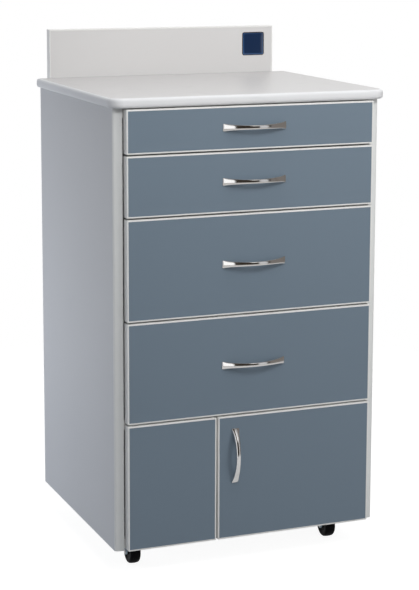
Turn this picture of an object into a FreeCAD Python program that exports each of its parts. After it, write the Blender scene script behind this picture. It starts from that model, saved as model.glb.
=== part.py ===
# Mobile cabinet on castors: four drawers above two cupboard doors.
# Millimetres, +X right, +Y to the back, +Z up; the origin is on the floor
# under the middle of the bounding box.
import FreeCAD, Part
import math
import os

os.makedirs("parts", exist_ok=True)

# Carcass
body_width = 559.0
body_depth = 476.0
board_thickness = 19.0
side_drop = 4.5             # side panels reach this far below the bottom panel
carcass_setback = 1.5       # shelves and rails stand back from the side panels' front
back_thickness = 6.0
back_inset = 12.0           # from the rear edges to the back panel
groove_depth = 8.0
rail_width = 80.0
shelf_drop = 3.0            # fixed shelf below the middle of the gap that it backs

# Edge moulding
moulding_depth = 7.0
moulding_corner = 5.0

# Worktop and backsplash
side_overhang = 10.0
front_overhang = 0.5        # worktop in front of the drawer fronts
front_corner_radius = 27.0
rear_corner_radius = 8.0
backsplash_height = 101.6   # above the worktop
backsplash_inset = 21.0     # each end, from the body's side

# Badge plate on the backsplash
badge_size = 48.0
badge_thickness = 1.2
badge_corner_radius = 6.0
badge_from_end = 49.0
badge_from_top = 36.6

# Drawer fronts and doors, listed from the top down
front_thickness = 19.0
front_standoff = 0.5        # behind the fronts, to the side panels' front
front_side_gap = 1.5
front_gap = 3.5
worktop_gap = 2.5           # above the top drawer's front
door_drop = 0.5             # doors reach this far below the bottom panel
drawer_front_heights = (85.0, 118.0, 198.0, 198.0)
door_height = 250.5
left_door_width = 184.25
band_thickness = 3.0

# Drawer boxes
box_lift = 13.0             # from a front's lower edge to its box
box_headroom = 22.0         # from the box up to the front's upper edge
box_depth = 420.0
box_board = 12.0
box_floor_thickness = 5.0
box_floor_lift = 8.0
box_groove_depth = 5.0

# Two-member runners
runner_space = 12.7
runner_length = 400.0
runner_setback = 11.0
runner_wall = 1.2
runner_height = 35.0
runner_depth = 11.0
runner_lift = 25.0          # from a box's underside to the runner's middle
member_depth = 9.5

# Pulls
drawer_pull_length = 134.0
door_pull_length = 112.0
pull_reach = 21.0
pull_band = 4.2
pull_tip = 2.4
pull_foot = 13.0
pull_end_height = 15.6
pull_height_shares = ((1.0, 1.0), (0.76, 0.74), (0.52, 0.56), (0.26, 0.48), (0.0, 0.46))
drawer_pull_x = 2.5         # across; up and down, a pull is in the middle of its front
door_pull_inset = 36.25     # from the wide door's free edge
door_pull_drop = 83.0

# Cupboard
hinge_cup_radius = 17.5
hinge_cup_depth = 11.5
hinge_cup_inset = 22.5
hinge_flange = 1.0
hinge_flange_length = 52.0
hinge_flange_width = 14.0
hinge_from_end = 58.0
hinge_arm_length = 62.0
hinge_arm_width = 15.0
hinge_arm_height = 12.0
hinge_arm_wall = 2.0
hinge_plate_length = 42.0
hinge_plate_width = 46.0
hinge_plate_thickness = 3.0
loose_shelf_thickness = 16.0
loose_shelf_height = 104.0  # above the bottom panel
loose_shelf_gap = 1.0
loose_shelf_setback = 18.0
cleat_width = 16.0
cleat_height = 14.0
cleat_setback = 30.0
latch_length = 58.0
latch_height = 16.0
latch_width = 11.0
latch_plunger_width = 6.0
latch_setback = 2.0

# Castors
castor_height = 62.5        # floor to the bottom panel
castor_inset = 63.5         # from the body's side to the swivel
front_swivel_setback = 102.0
rear_swivel_setback = 76.0
castor_trail = 20.0
wheel_radius = 25.0
wheel_width = 18.0
axle_radius = 3.0
axle_head = 1.8
fork_wall = 2.0
fork_gap = 1.5              # between the wheel and each fork leg
fork_crown = 2.5
fork_top_half = 17.0
fork_foot_radius = 7.0
plate_size = 60.0
plate_thickness = 2.5
plate_chamfer = 6.0
king_pin_radius = 5.0

# Castor screws
screw_head_radius = 4.2
screw_head = 2.2
plate_screw_offset = 22.5

# Fits
running_clearance = 0.06
seat_clearance = 0.1
face_clearance = 0.3
overrun = 5.0

# Places worked out from the sizes above
body_half = body_width / 2
inner_half = body_half - board_thickness
front_reach = front_standoff + front_thickness
overall_depth = body_depth + board_thickness + front_reach + pull_reach
body_front = -overall_depth / 2 + pull_reach + front_reach
body_rear = body_front + body_depth
back_front = body_rear - back_inset - back_thickness
carcass_front = body_front + carcass_setback
fronts_back = body_front - front_standoff
fronts_face = fronts_back - front_thickness
fronts_half = inner_half - front_side_gap
door_split = left_door_width + front_gap / 2 - fronts_half
backsplash_half = body_half - backsplash_inset
side_base = castor_height - side_drop
floor_top = castor_height + board_thickness
door_base = castor_height - door_drop
door_top = door_base + door_height
drawer_front_tops = tuple(
    door_top + sum(drawer_front_heights[i:]) + front_gap * (len(drawer_front_heights) - i)
    for i in range(len(drawer_front_heights)))
worktop_base = drawer_front_tops[0] + worktop_gap
worktop_height = worktop_base + board_thickness
fixed_shelf_top = door_top + front_gap / 2 + board_thickness / 2 - shelf_drop
fixed_shelf_base = fixed_shelf_top - board_thickness
partition_left = door_split - board_thickness / 2
partition_right = door_split + board_thickness / 2
swivels = tuple(
    (x, y)
    for y in (body_front + front_swivel_setback, body_rear - rear_swivel_setback)
    for x in (castor_inset - body_half, body_half - castor_inset))
hinge_heights = (door_base + hinge_from_end, door_top - hinge_from_end)


def block(x, y, z):
    """A box from (low, high) pairs."""
    return Part.makeBox(
        x[1] - x[0], y[1] - y[0], z[1] - z[0], FreeCAD.Vector(x[0], y[0], z[0]))


def rod(radius, start, end):
    """A cylinder between two points."""
    a = FreeCAD.Vector(*start)
    axis = FreeCAD.Vector(*end) - a
    return Part.makeCylinder(radius, axis.Length, a, axis)


def prism(edges_or_points, travel):
    """A closed outline pushed along a vector; points are joined by straight lines."""
    if isinstance(edges_or_points[0], tuple):
        points = [FreeCAD.Vector(*p) for p in edges_or_points]
        wire = Part.makePolygon(points + points[:1])
    else:
        wire = Part.Wire(Part.__sortEdges__(edges_or_points))
    return Part.Face(wire).extrude(FreeCAD.Vector(*travel))


def rounded_outline(x, y, z, radii):
    """A rectangle at height z whose corners (front-left, front-right, rear-right,
    rear-left) are rounded by the radii."""
    corners = ((x[0], y[0], 1, 1), (x[1], y[0], -1, 1), (x[1], y[1], -1, -1), (x[0], y[1], 1, -1))
    half_turn_share = 1 - math.sqrt(0.5)
    ends = []
    edges = []
    for index, (cx, cy, sx, sy) in enumerate(corners):
        radius = radii[index]
        along_x = FreeCAD.Vector(cx + sx * radius, cy, z)
        along_y = FreeCAD.Vector(cx, cy + sy * radius, z)
        first, last = (along_y, along_x) if index % 2 == 0 else (along_x, along_y)
        ends.append((first, last))
        if radius > 0:
            bend = half_turn_share * radius
            middle = FreeCAD.Vector(cx + sx * bend, cy + sy * bend, z)
            edges.append(Part.Arc(first, middle, last).toShape())
    for index in range(4):
        start = ends[index][1]
        end = ends[(index + 1) % 4][0]
        edges.append(Part.makeLine(start, end))
    return edges


def rounded_block(x, y, z, radii):
    return prism(rounded_outline(x, y, z[0], radii), (0, 0, z[1] - z[0]))


def save(name, *solids):
    shape = solids[0] if len(solids) == 1 else Part.makeCompound(list(solids))
    shape.exportStep("parts/" + name + ".step")


def moulding_edges(place):
    """The moulding's outline; place turns (across, out) into a point in space."""
    wide = board_thickness
    start = moulding_depth - moulding_corner
    bend = moulding_corner * (1 - math.sqrt(0.5))
    points = [
        place(0, 0), place(0, start), place(moulding_corner, moulding_depth),
        place(wide - moulding_corner, moulding_depth), place(wide, start), place(wide, 0)]
    return [
        Part.makeLine(points[0], points[1]),
        Part.Arc(points[1], place(bend, moulding_depth - bend), points[2]).toShape(),
        Part.makeLine(points[2], points[3]),
        Part.Arc(points[3], place(wide - bend, moulding_depth - bend), points[4]).toShape(),
        Part.makeLine(points[4], points[5]),
        Part.makeLine(points[5], points[0])]


def side_panel(side):
    """side is -1 for the left panel and 1 for the right one."""
    outer = side * body_half
    inner = side * inner_half
    panel = block(
        sorted((outer, inner)), (body_front + moulding_depth, body_rear),
        (side_base, worktop_base))
    groove = block(
        sorted((inner - side * overrun, inner + side * groove_depth)),
        (back_front, back_front + back_thickness), (castor_height, worktop_base + overrun))
    return panel.cut(groove)


def side_edge(side):
    left = min(side * body_half, side * inner_half)
    seam = body_front + moulding_depth
    edges = moulding_edges(lambda a, b: FreeCAD.Vector(left + a, seam - b, side_base))
    return prism(edges, (0, 0, worktop_base - side_base))


def bottom_panel():
    return block(
        (-inner_half, inner_half), (carcass_front, back_front), (castor_height, floor_top))


def fixed_shelf():
    return block(
        (-inner_half, inner_half), (carcass_front, back_front),
        (fixed_shelf_base, fixed_shelf_top))


def partition():
    return block(
        (partition_left, partition_right), (carcass_front, back_front),
        (floor_top, fixed_shelf_base))


def back_panel():
    reach = inner_half + groove_depth - seat_clearance
    return block(
        (-reach, reach), (back_front, back_front + back_thickness),
        (castor_height, worktop_base))


def top_rails():
    z = (worktop_base - board_thickness, worktop_base)
    x = (-inner_half, inner_half)
    front = block(x, (carcass_front, carcass_front + rail_width), z)
    rear = block(x, (back_front - rail_width, back_front), z)
    return front, rear


def worktop_plan():
    x = (-body_half - side_overhang, body_half + side_overhang)
    y = (fronts_face - front_overhang, body_rear)
    return x, y


def inset_plan(depth):
    """The worktop's plan and corner radii, taken in by a depth."""
    x, y = worktop_plan()
    radii = [
        max(radius - depth, 0)
        for radius in (front_corner_radius, front_corner_radius,
                       rear_corner_radius, rear_corner_radius)]
    return (x[0] + depth, x[1] - depth), (y[0] + depth, y[1] - depth), radii


def worktop():
    x, y, radii = inset_plan(moulding_depth)
    return rounded_block(x, y, (worktop_base, worktop_height), radii)


def worktop_edge():
    """The moulding around the worktop, rounded above and below."""
    x, y, radii = inset_plan(0)
    whole = rounded_block(x, y, (worktop_base, worktop_height), radii)
    rims = [
        edge for edge in whole.Edges
        if edge.BoundBox.ZLength < board_thickness / 2]
    return whole.makeFillet(moulding_corner, rims).cut(worktop())


def banded_panel(x, y, z):
    """A board core and the ring of edge band around it, in the XZ plane."""
    core = block(
        (x[0] + band_thickness, x[1] - band_thickness), y,
        (z[0] + band_thickness, z[1] - band_thickness))
    return core, block(x, y, z).cut(core)


def backsplash():
    """The board, and the edge band on its ends and top."""
    top = worktop_height + backsplash_height
    y = (body_rear, body_rear + board_thickness)
    core = block(
        (band_thickness - backsplash_half, backsplash_half - band_thickness), y,
        (worktop_base, top - band_thickness))
    whole = block((-backsplash_half, backsplash_half), y, (worktop_base, top))
    return core, whole.cut(core)


def badge():
    half = badge_size / 2
    x = backsplash_half - badge_from_end
    z = worktop_height + backsplash_height - badge_from_top
    plate = rounded_block(
        (-half, half), (-half, half), (0, badge_thickness), [badge_corner_radius] * 4)
    plate.rotate(FreeCAD.Vector(0, 0, 0), FreeCAD.Vector(1, 0, 0), 90)
    plate.translate(FreeCAD.Vector(x, body_rear, z))
    return plate


def box_base(index):
    """Underside of a drawer box."""
    return drawer_front_tops[index] - drawer_front_heights[index] + box_lift


def box_top(index):
    return drawer_front_tops[index] - box_headroom


def channel(side, back, mouth, middle, height):
    """A C-section runner member; back and mouth are measured inwards from the side
    panel, and the member's web is at its back."""
    turn = 1 if mouth > back else -1
    web = back + turn * runner_wall
    low = middle - height / 2
    high = middle + height / 2
    outline = (
        (back, low), (mouth, low), (mouth, low + runner_wall), (web, low + runner_wall),
        (web, high - runner_wall), (mouth, high - runner_wall), (mouth, high), (back, high))
    start = body_front + runner_setback
    points = [(side * (inner_half - a), start, b) for a, b in outline]
    return prism(points, (0, runner_length, 0))


def cabinet_runner(index, side):
    """The outer member, on the side panel."""
    return channel(side, 0, runner_depth, box_base(index) + runner_lift, runner_height)


def drawer_runner(index, side):
    """The inner member, on the drawer's side; it slides inside the outer one."""
    height = runner_height - 2 * (runner_wall + face_clearance)
    return channel(
        side, runner_space, runner_space - member_depth, box_base(index) + runner_lift, height)


def pull(length):
    """A bow pull along X that stands off the plane Y = 0 towards -Y."""
    half = length / 2
    height = pull_end_height / 2
    outer = Part.Arc(
        FreeCAD.Vector(-half, -pull_tip, -height), FreeCAD.Vector(0, -pull_reach, -height),
        FreeCAD.Vector(half, -pull_tip, -height)).toShape()
    inner = Part.Arc(
        FreeCAD.Vector(half - pull_foot, 0, -height),
        FreeCAD.Vector(0, pull_band - pull_reach, -height),
        FreeCAD.Vector(pull_foot - half, 0, -height)).toShape()
    feet = []
    for side in (-1, 1):
        corners = [
            FreeCAD.Vector(side * half, -pull_tip, -height),
            FreeCAD.Vector(side * half, 0, -height),
            FreeCAD.Vector(side * (half - pull_foot), 0, -height)]
        feet += [Part.makeLine(corners[0], corners[1]), Part.makeLine(corners[1], corners[2])]
    bow = prism([outer, inner] + feet, (0, 0, pull_end_height))
    right = [(a * half, b * height) for a, b in pull_height_shares]
    flare = right + [(-x, z) for x, z in reversed(right[:-1])]
    edges = []
    for sign in (-1, 1):
        curve = Part.BSplineCurve()
        curve.interpolate([FreeCAD.Vector(x, 0, sign * z) for x, z in flare])
        edges.append(curve.toShape())
        edges.append(Part.makeLine(
            FreeCAD.Vector(sign * half, 0, height), FreeCAD.Vector(sign * half, 0, -height)))
    return bow.common(prism(edges, (0, -pull_reach - overrun, 0)))


def drawer_box(index):
    """Side boards, and front and back boards between them, grooved for the floor."""
    base = box_base(index)
    z = (base, box_top(index))
    half = inner_half - runner_space
    inner = half - box_board
    y = (fronts_back, fronts_back + box_depth)
    floor_z = (base + box_floor_lift, base + box_floor_lift + box_floor_thickness)
    reach = inner + box_groove_depth
    groove = block(
        (-reach, reach), (y[0] + box_board - box_groove_depth, y[1] - box_board + box_groove_depth),
        floor_z)
    boards = [
        block((-half, -inner), y, z), block((inner, half), y, z),
        block((-inner, inner), (y[0], y[0] + box_board), z),
        block((-inner, inner), (y[1] - box_board, y[1]), z)]
    return [board.cut(groove) for board in boards], floor_z


def drawer_floor(floor_z):
    reach = inner_half - runner_space - box_board + box_groove_depth - seat_clearance
    y = (fronts_back + box_board - box_groove_depth + seat_clearance,
         fronts_back + box_depth - box_board + box_groove_depth - seat_clearance)
    return block((-reach, reach), y, floor_z)


def build_drawer(index):
    name = str(index + 1)
    top = drawer_front_tops[index]
    z = (top - drawer_front_heights[index], top)
    core, band = banded_panel((-fronts_half, fronts_half), (fronts_face, fronts_back), z)
    boards, floor_z = drawer_box(index)
    handle = pull(drawer_pull_length)
    middle = top - drawer_front_heights[index] / 2
    handle.translate(FreeCAD.Vector(drawer_pull_x, fronts_face, middle))
    save("drawer_front_" + name, core)
    save("drawer_front_edge_" + name, band)
    save("drawer_box_" + name, *boards)
    save("drawer_floor_" + name, drawer_floor(floor_z))
    save("drawer_runners_" + name, drawer_runner(index, -1), drawer_runner(index, 1))
    save("drawer_pull_" + name, handle)


def hinge_cup(edge, side, z, clearance):
    """The round of a concealed hinge; edge is the door's hinged edge."""
    x = edge - side * hinge_cup_inset
    return rod(
        hinge_cup_radius + clearance, (x, fronts_back, z),
        (x, fronts_back - hinge_cup_depth - clearance, z))


def hinge_cups(edge, side):
    """Cup pressings with their screw flanges, let into the back of a door."""
    cups = []
    x = edge - side * hinge_cup_inset
    for z in hinge_heights:
        flange = block(
            (x - hinge_flange_width / 2, x + hinge_flange_width / 2),
            (fronts_back - hinge_flange, fronts_back),
            (z - hinge_flange_length / 2, z + hinge_flange_length / 2))
        cups.append(hinge_cup(edge, side, z, 0).fuse(flange).removeSplitter())
    return cups


def door(x, side):
    """A door's core and band with the hinges' recesses cut in the back."""
    core, band = banded_panel(x, (fronts_face, fronts_back), (door_base, door_top))
    edge = x[1] if side > 0 else x[0]
    cup_x = edge - side * hinge_cup_inset
    cuts = []
    for z in hinge_heights:
        cuts.append(hinge_cup(edge, side, z, seat_clearance))
        width = hinge_flange_width / 2 + seat_clearance
        length = hinge_flange_length / 2 + seat_clearance
        cuts.append(block(
            (cup_x - width, cup_x + width), (fronts_back - hinge_flange, fronts_back + overrun),
            (z - length, z + length)))
    return core.cut(Part.makeCompound(cuts)), band


def hinge_arm(side, z):
    """The mounting plate on a side panel and the arm that it carries."""
    def across(distance):
        return side * (inner_half - distance)
    start = fronts_back + face_clearance
    plate_start = start + hinge_arm_length - hinge_plate_length
    plate_end = hinge_plate_thickness
    plate = block(
        sorted((across(0), across(plate_end))), (plate_start, start + hinge_arm_length),
        (z - hinge_plate_width / 2, z + hinge_plate_width / 2))
    arm_top = plate_end + hinge_arm_height
    arm = block(
        sorted((across(plate_end), across(arm_top))), (start, start + hinge_arm_length),
        (z - hinge_arm_width / 2, z + hinge_arm_width / 2))
    hollow_width = hinge_arm_width / 2 - hinge_arm_wall
    hollow = block(
        sorted((across(plate_end), across(arm_top - hinge_arm_wall))),
        (start - overrun, plate_start), (z - hollow_width, z + hollow_width))
    return plate.fuse(arm).cut(hollow).removeSplitter()


def build_doors():
    left_core, left_band = door((-fronts_half, door_split - front_gap / 2), -1)
    right_start = door_split + front_gap / 2
    right_core, right_band = door((right_start, fronts_half), 1)
    handle = pull(door_pull_length)
    handle.rotate(FreeCAD.Vector(0, 0, 0), FreeCAD.Vector(0, 1, 0), 90)
    handle.translate(FreeCAD.Vector(
        right_start + door_pull_inset, fronts_face, door_top - door_pull_drop))
    save("left_door", left_core)
    save("left_door_edge", left_band)
    save("left_door_hinge_cups", *hinge_cups(-fronts_half, -1))
    save("right_door", right_core)
    save("right_door_edge", right_band)
    save("right_door_hinge_cups", *hinge_cups(fronts_half, 1))
    save("right_door_pull", handle)


def loose_shelf():
    base = floor_top + loose_shelf_height
    return block(
        (partition_right + loose_shelf_gap, inner_half - loose_shelf_gap),
        (carcass_front + loose_shelf_setback, back_front - loose_shelf_gap),
        (base, base + loose_shelf_thickness))


def shelf_cleats():
    """Battens under the ends of the loose shelf."""
    top = floor_top + loose_shelf_height
    y = (carcass_front + cleat_setback, back_front)
    z = (top - cleat_height, top)
    return (
        block((partition_right, partition_right + cleat_width), y, z),
        block((inner_half - cleat_width, inner_half), y, z))


def touch_latch():
    """The push latch on the partition that holds the left door."""
    x = (partition_left - latch_width, partition_left)
    z = (fixed_shelf_base + floor_top) / 2
    start = carcass_front + latch_setback
    y = (start, start + latch_length)
    body = block(x, y, (z - latch_height / 2, z + latch_height / 2))
    middle = (x[0] + x[1]) / 2
    half = latch_plunger_width / 2
    plunger = block(
        (middle - half, middle + half), (fronts_back + face_clearance, y[0]),
        (z - half, z + half))
    return body.fuse(plunger).removeSplitter()


def castor_plate(x, y):
    """Plate with its screws' heads and king pin."""
    half = plate_size / 2
    flat = half - plate_chamfer
    low = castor_height - plate_thickness
    corners = (
        (flat, -half), (half, -flat), (half, flat), (flat, half),
        (-flat, half), (-half, flat), (-half, -flat), (-flat, -half))
    plate = prism([(x + a, y + b, low) for a, b in corners], (0, 0, plate_thickness))
    pin_end = crown_top() - fork_crown - face_clearance
    pin = rod(king_pin_radius, (x, y, low), (x, y, pin_end))
    heads = [
        hexagon(x + sx * plate_screw_offset, y + sy * plate_screw_offset, low)
        for sx in (-1, 1) for sy in (-1, 1)]
    return plate.fuse([pin] + heads).removeSplitter()


def hexagon(x, y, top):
    """A hexagonal screw head that hangs from a height."""
    points = [
        (x + screw_head_radius * math.cos(math.radians(turn)),
         y + screw_head_radius * math.sin(math.radians(turn)), top)
        for turn in range(0, 360, 60)]
    return prism(points, (0, 0, -screw_head))


def crown_top():
    """Top of the fork's crown."""
    return castor_height - plate_thickness - face_clearance


def castor_fork(x, y):
    """The pressed fork: a crown that turns on the king pin, and two tapered legs."""
    axle_y = y - castor_trail
    top = crown_top()
    low = top - fork_crown
    inner = wheel_width / 2 + fork_gap
    outer = inner + fork_wall
    base = wheel_radius - fork_foot_radius
    section = (
        (-outer, base), (-inner, base), (-inner, low), (inner, low), (inner, base),
        (outer, base), (outer, top), (-outer, top))
    front = axle_y - fork_foot_radius
    rear = y + fork_top_half
    channel_prism = prism([(x + a, front, b) for a, b in section], (0, rear - front, 0))
    foot = fork_foot_radius
    bend = foot * (1 - math.sqrt(0.5))
    profile = (
        (front, wheel_radius), (front + bend, base + bend), (axle_y, base),
        (axle_y + foot - bend, base + bend), (rear, low), (rear, top),
        (y - fork_top_half, top), (y - fork_top_half, low))
    outline = prism(
        [(x - outer - overrun, a, b) for a, b in profile], (2 * (outer + overrun), 0, 0))
    king_hole = rod(
        king_pin_radius + running_clearance, (x, y, low - overrun), (x, y, top + overrun))
    axle_hole = rod(
        axle_radius + running_clearance, (x - outer - overrun, axle_y, wheel_radius),
        (x + outer + overrun, axle_y, wheel_radius))
    return channel_prism.common(outline).cut(king_hole).cut(axle_hole)


def castor_wheel(x, y):
    """The wheel, turned in one with the axle that runs in the fork's legs."""
    half = wheel_width / 2
    reach = half + fork_gap + fork_wall + axle_head
    axle_y = y - castor_trail
    outline = (
        (-reach, 0), (-reach, axle_radius), (-half, axle_radius), (-half, wheel_radius),
        (half, wheel_radius), (half, axle_radius), (reach, axle_radius), (reach, 0))
    points = [
        FreeCAD.Vector(x + across, axle_y, wheel_radius + radius) for across, radius in outline]
    face = Part.Face(Part.makePolygon(points + points[:1]))
    return face.revolve(
        FreeCAD.Vector(x, axle_y, wheel_radius), FreeCAD.Vector(1, 0, 0), 360)


def build_castors():
    save("castor_plates", *[castor_plate(x, y) for x, y in swivels])
    for index, (x, y) in enumerate(swivels):
        name = str(index + 1)
        save("castor_fork_" + name, castor_fork(x, y))
        save("castor_wheel_" + name, castor_wheel(x, y))


def build_carcass():
    save("side_panel_left", side_panel(-1))
    save("side_panel_right", side_panel(1))
    save("side_edges", side_edge(-1), side_edge(1))
    save("bottom_panel", bottom_panel())
    save("fixed_shelf", fixed_shelf())
    save("partition", partition())
    save("back_panel", back_panel())
    save("top_rails", *top_rails())
    save("worktop", worktop())
    save("worktop_edge", worktop_edge())
    board, band = backsplash()
    save("backsplash", board)
    save("backsplash_edge", band)
    save("badge", badge())


def build_fittings():
    save("loose_shelf", loose_shelf())
    save("shelf_cleats", *shelf_cleats())
    save("touch_latch", touch_latch())
    save("hinge_arms", *[hinge_arm(side, z) for side in (-1, 1) for z in hinge_heights])
    save("cabinet_runners", *[
        cabinet_runner(index, side)
        for index in range(len(drawer_front_heights)) for side in (-1, 1)])


build_carcass()
build_fittings()
for drawer in range(len(drawer_front_heights)):
    build_drawer(drawer)
build_doors()
build_castors()
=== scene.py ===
import math
import bmesh
import bpy
import numpy as np
from mathutils import Matrix, Vector


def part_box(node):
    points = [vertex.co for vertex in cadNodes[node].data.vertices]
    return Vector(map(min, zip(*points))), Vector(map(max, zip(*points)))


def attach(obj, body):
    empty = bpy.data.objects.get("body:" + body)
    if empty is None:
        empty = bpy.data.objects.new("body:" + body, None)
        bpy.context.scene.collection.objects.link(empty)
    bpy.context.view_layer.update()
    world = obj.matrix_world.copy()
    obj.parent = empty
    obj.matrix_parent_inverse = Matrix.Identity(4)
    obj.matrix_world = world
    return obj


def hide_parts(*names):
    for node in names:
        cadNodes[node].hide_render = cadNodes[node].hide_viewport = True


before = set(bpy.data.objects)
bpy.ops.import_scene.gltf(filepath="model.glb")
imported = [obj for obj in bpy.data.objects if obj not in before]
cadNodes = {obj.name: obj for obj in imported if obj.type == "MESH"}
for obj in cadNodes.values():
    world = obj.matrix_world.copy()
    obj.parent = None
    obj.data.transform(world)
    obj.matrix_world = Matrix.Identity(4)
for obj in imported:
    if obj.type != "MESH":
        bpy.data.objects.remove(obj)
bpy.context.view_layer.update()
mm = 0.001
drawerNumbers = range(1, 5)
castorNumbers = range(1, 5)
print("frame loaded:", len(cadNodes), "nodes")


# Small helpers for node trees: a plain value is set on a socket, and a socket is linked to it.
def connect(tree, target, value):
    if isinstance(value, bpy.types.NodeSocket):
        tree.links.new(value, target)
    else:
        target.default_value = value


def addNode(tree, kind, inputs=None, **settings):
    made = tree.nodes.new(kind)
    for name, value in settings.items():
        setattr(made, name, value)
    for name, value in (inputs or {}).items():
        connect(tree, made.inputs[name], value)
    return made


def mathNode(tree, operation, first, second=0.0, third=0.0):
    return addNode(tree, "ShaderNodeMath", {0: first, 1: second, 2: third}, operation=operation).outputs[0]


def times(tree, first, second):
    return mathNode(tree, "MULTIPLY", first, second)


def mixColour(tree, factor, first, second, blend="MIX"):  # a plain colour comes without its alpha
    first, second = (value if isinstance(value, bpy.types.NodeSocket) else (*value, 1.0) for value in (first, second))
    made = addNode(tree, "ShaderNodeMix", {0: factor, 6: first, 7: second}, data_type="RGBA", blend_type=blend)
    return made.outputs[2]


def fadeBetween(tree, value, low, high):  # 0 below low, 1 above high, smooth between
    made = addNode(tree, "ShaderNodeMapRange", {"Value": value, "From Min": low, "From Max": high},
                   interpolation_type="SMOOTHSTEP")
    return made.outputs[0]


def windowOf(tree, value, low, high, soft):  # 1 between low and high, with soft ends
    rising = fadeBetween(tree, value, low - soft, low + soft)
    falling = fadeBetween(tree, value, high - soft, high + soft)
    return mathNode(tree, "SUBTRACT", rising, falling)


def noiseOf(tree, place, scale, detail, **more):
    return addNode(tree, "ShaderNodeTexNoise", {"Vector": place, "Scale": scale, "Detail": detail, **more}).outputs[0]


# Every effect takes the place on the piece as Position. Its other inputs come as defaults, numbers or vectors.
def newEffect(name, outputs, **inputs):
    group = bpy.data.node_groups.new(name, "ShaderNodeTree")
    for label, value in {"Position": (0.0, 0.0, 0.0), **inputs}.items():
        kind = "NodeSocketFloat" if isinstance(value, float) else "NodeSocketVector"
        group.interface.new_socket(name=label, in_out="INPUT", socket_type=kind).default_value = value
    for label in outputs:
        group.interface.new_socket(name=label, in_out="OUTPUT", socket_type="NodeSocketFloat")
    given, out = group.nodes.new("NodeGroupInput").outputs, group.nodes.new("NodeGroupOutput").inputs
    return group, given["Position"], given, out


def useEffect(tree, name, place, **inputs):
    made = tree.nodes.new("ShaderNodeGroup")
    made.node_tree = effects[name]
    for label, value in {"Position": place, **inputs}.items():
        connect(tree, made.inputs[label], value)
    return made.outputs


# Pressed texture: the tint is 1 + grains * Tone + drift * Drift, and pores stand in the fine noise's height.
def makeSuede():
    group, place, given, out = newEffect("suede", ["Tint", "Height"], Grain=900.0, Tone=0.04, Drift=0.03)
    fine = noiseOf(group, place, given["Grain"], detail=3.0)
    coarse = noiseOf(group, place, scale=3.5, detail=2.0)
    pores = addNode(group, "ShaderNodeTexVoronoi", {"Vector": place, "Scale": times(group, given["Grain"], 0.7)})
    grains, slow = (times(group, mathNode(group, "SUBTRACT", noise, 0.5), share)
                    for noise, share in ((fine, given["Tone"]), (coarse, given["Drift"])))
    connect(group, out["Tint"], mathNode(group, "ADD", mathNode(group, "ADD", grains, slow), 1.0))
    connect(group, out["Height"], mathNode(group, "MULTIPLY_ADD", pores.outputs[0], 0.6, fine))
    return group


# Fine lines along the axis whose share of Stretch is small.
def makeBrushing():
    group, place, given, out = newEffect("brushing", ["Streak"], Stretch=(1.0, 1.0, 1.0), Scale=2000.0)
    drawn = addNode(group, "ShaderNodeVectorMath", {0: place, 1: given["Stretch"]}, operation="MULTIPLY")
    connect(group, out["Streak"], noiseOf(group, drawn.outputs[0], given["Scale"], detail=4.0, Roughness=0.6))
    return group


# Soft smudges left by hands and cloths; 0 is clean.
def makeHandling():
    group, place, given, out = newEffect("handling", ["Smudge"], Scale=18.0, Cover=0.5)
    patches = noiseOf(group, place, given["Scale"], detail=5.0, Roughness=0.65, Distortion=0.6)
    low = mathNode(group, "SUBTRACT", 1.0, given["Cover"])
    found = fadeBetween(group, patches, times(group, low, 0.9), mathNode(group, "ADD", low, 0.25))
    connect(group, out["Smudge"], found)
    return group


# A little dust where a surface faces up.
def makeDust():
    group, place, given, out = newEffect("dust", ["Cover"], Facing=(0.0, 0.0, 1.0), Amount=0.2)
    up = addNode(group, "ShaderNodeSeparateXYZ", {0: given["Facing"]})
    specks = noiseOf(group, place, scale=140.0, detail=6.0)
    cover = times(group, fadeBetween(group, up.outputs[2], 0.45, 0.95), fadeBetween(group, specks, 0.42, 0.72))
    connect(group, out["Cover"], times(group, cover, given["Amount"]))
    return group


# Polish and small nicks along edges, from a piece's own rim mask.
def makeRimWear():
    group, place, given, out = newEffect("rimWear", ["Wear"], Rim=0.0, Amount=0.5)
    broken = fadeBetween(group, noiseOf(group, place, scale=220.0, detail=4.0), 0.44, 0.62)
    wear = times(group, times(group, given["Rim"], broken), given["Amount"])
    connect(group, out["Wear"], wear)
    return group


effects = {"suede": makeSuede(), "brushing": makeBrushing(), "handling": makeHandling(), "dust": makeDust(),
           "rimWear": makeRimWear()}
print("effects ready:", len(effects))


def startFinish(name):
    finish = bpy.data.materials.new(name)
    finish.use_nodes = True
    tree = finish.node_tree
    place = addNode(tree, "ShaderNodeTexCoord").outputs["Object"]
    facing = addNode(tree, "ShaderNodeNewGeometry").outputs["Normal"]
    return finish, tree, tree.nodes["Principled BSDF"], place, facing


def feed(tree, shader, **values):  # Base_Color stands for the socket Base Color
    for name, value in values.items():
        connect(tree, shader.inputs[name.replace("_", " ")], value)


def tinted(tree, colour, tint):  # a colour made lighter or darker by a value round 1
    grey = addNode(tree, "ShaderNodeCombineColor", {0: tint, 1: tint, 2: tint})
    return mixColour(tree, 1.0, colour, grey.outputs[0], "MULTIPLY")


def relief(tree, height, strength, depth):
    return addNode(tree, "ShaderNodeBump", {"Height": height, "Strength": strength, "Distance": depth}).outputs[0]


def hazed(tree, smudge, haze, rough):  # roughness is rough + haze * smudge
    return mathNode(tree, "MULTIPLY_ADD", smudge, haze, rough)


dustTints = {"laminate": (0.62, 0.61, 0.59), "edging": (0.6, 0.59, 0.57), "moulded": (0.4, 0.39, 0.37)}


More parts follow.
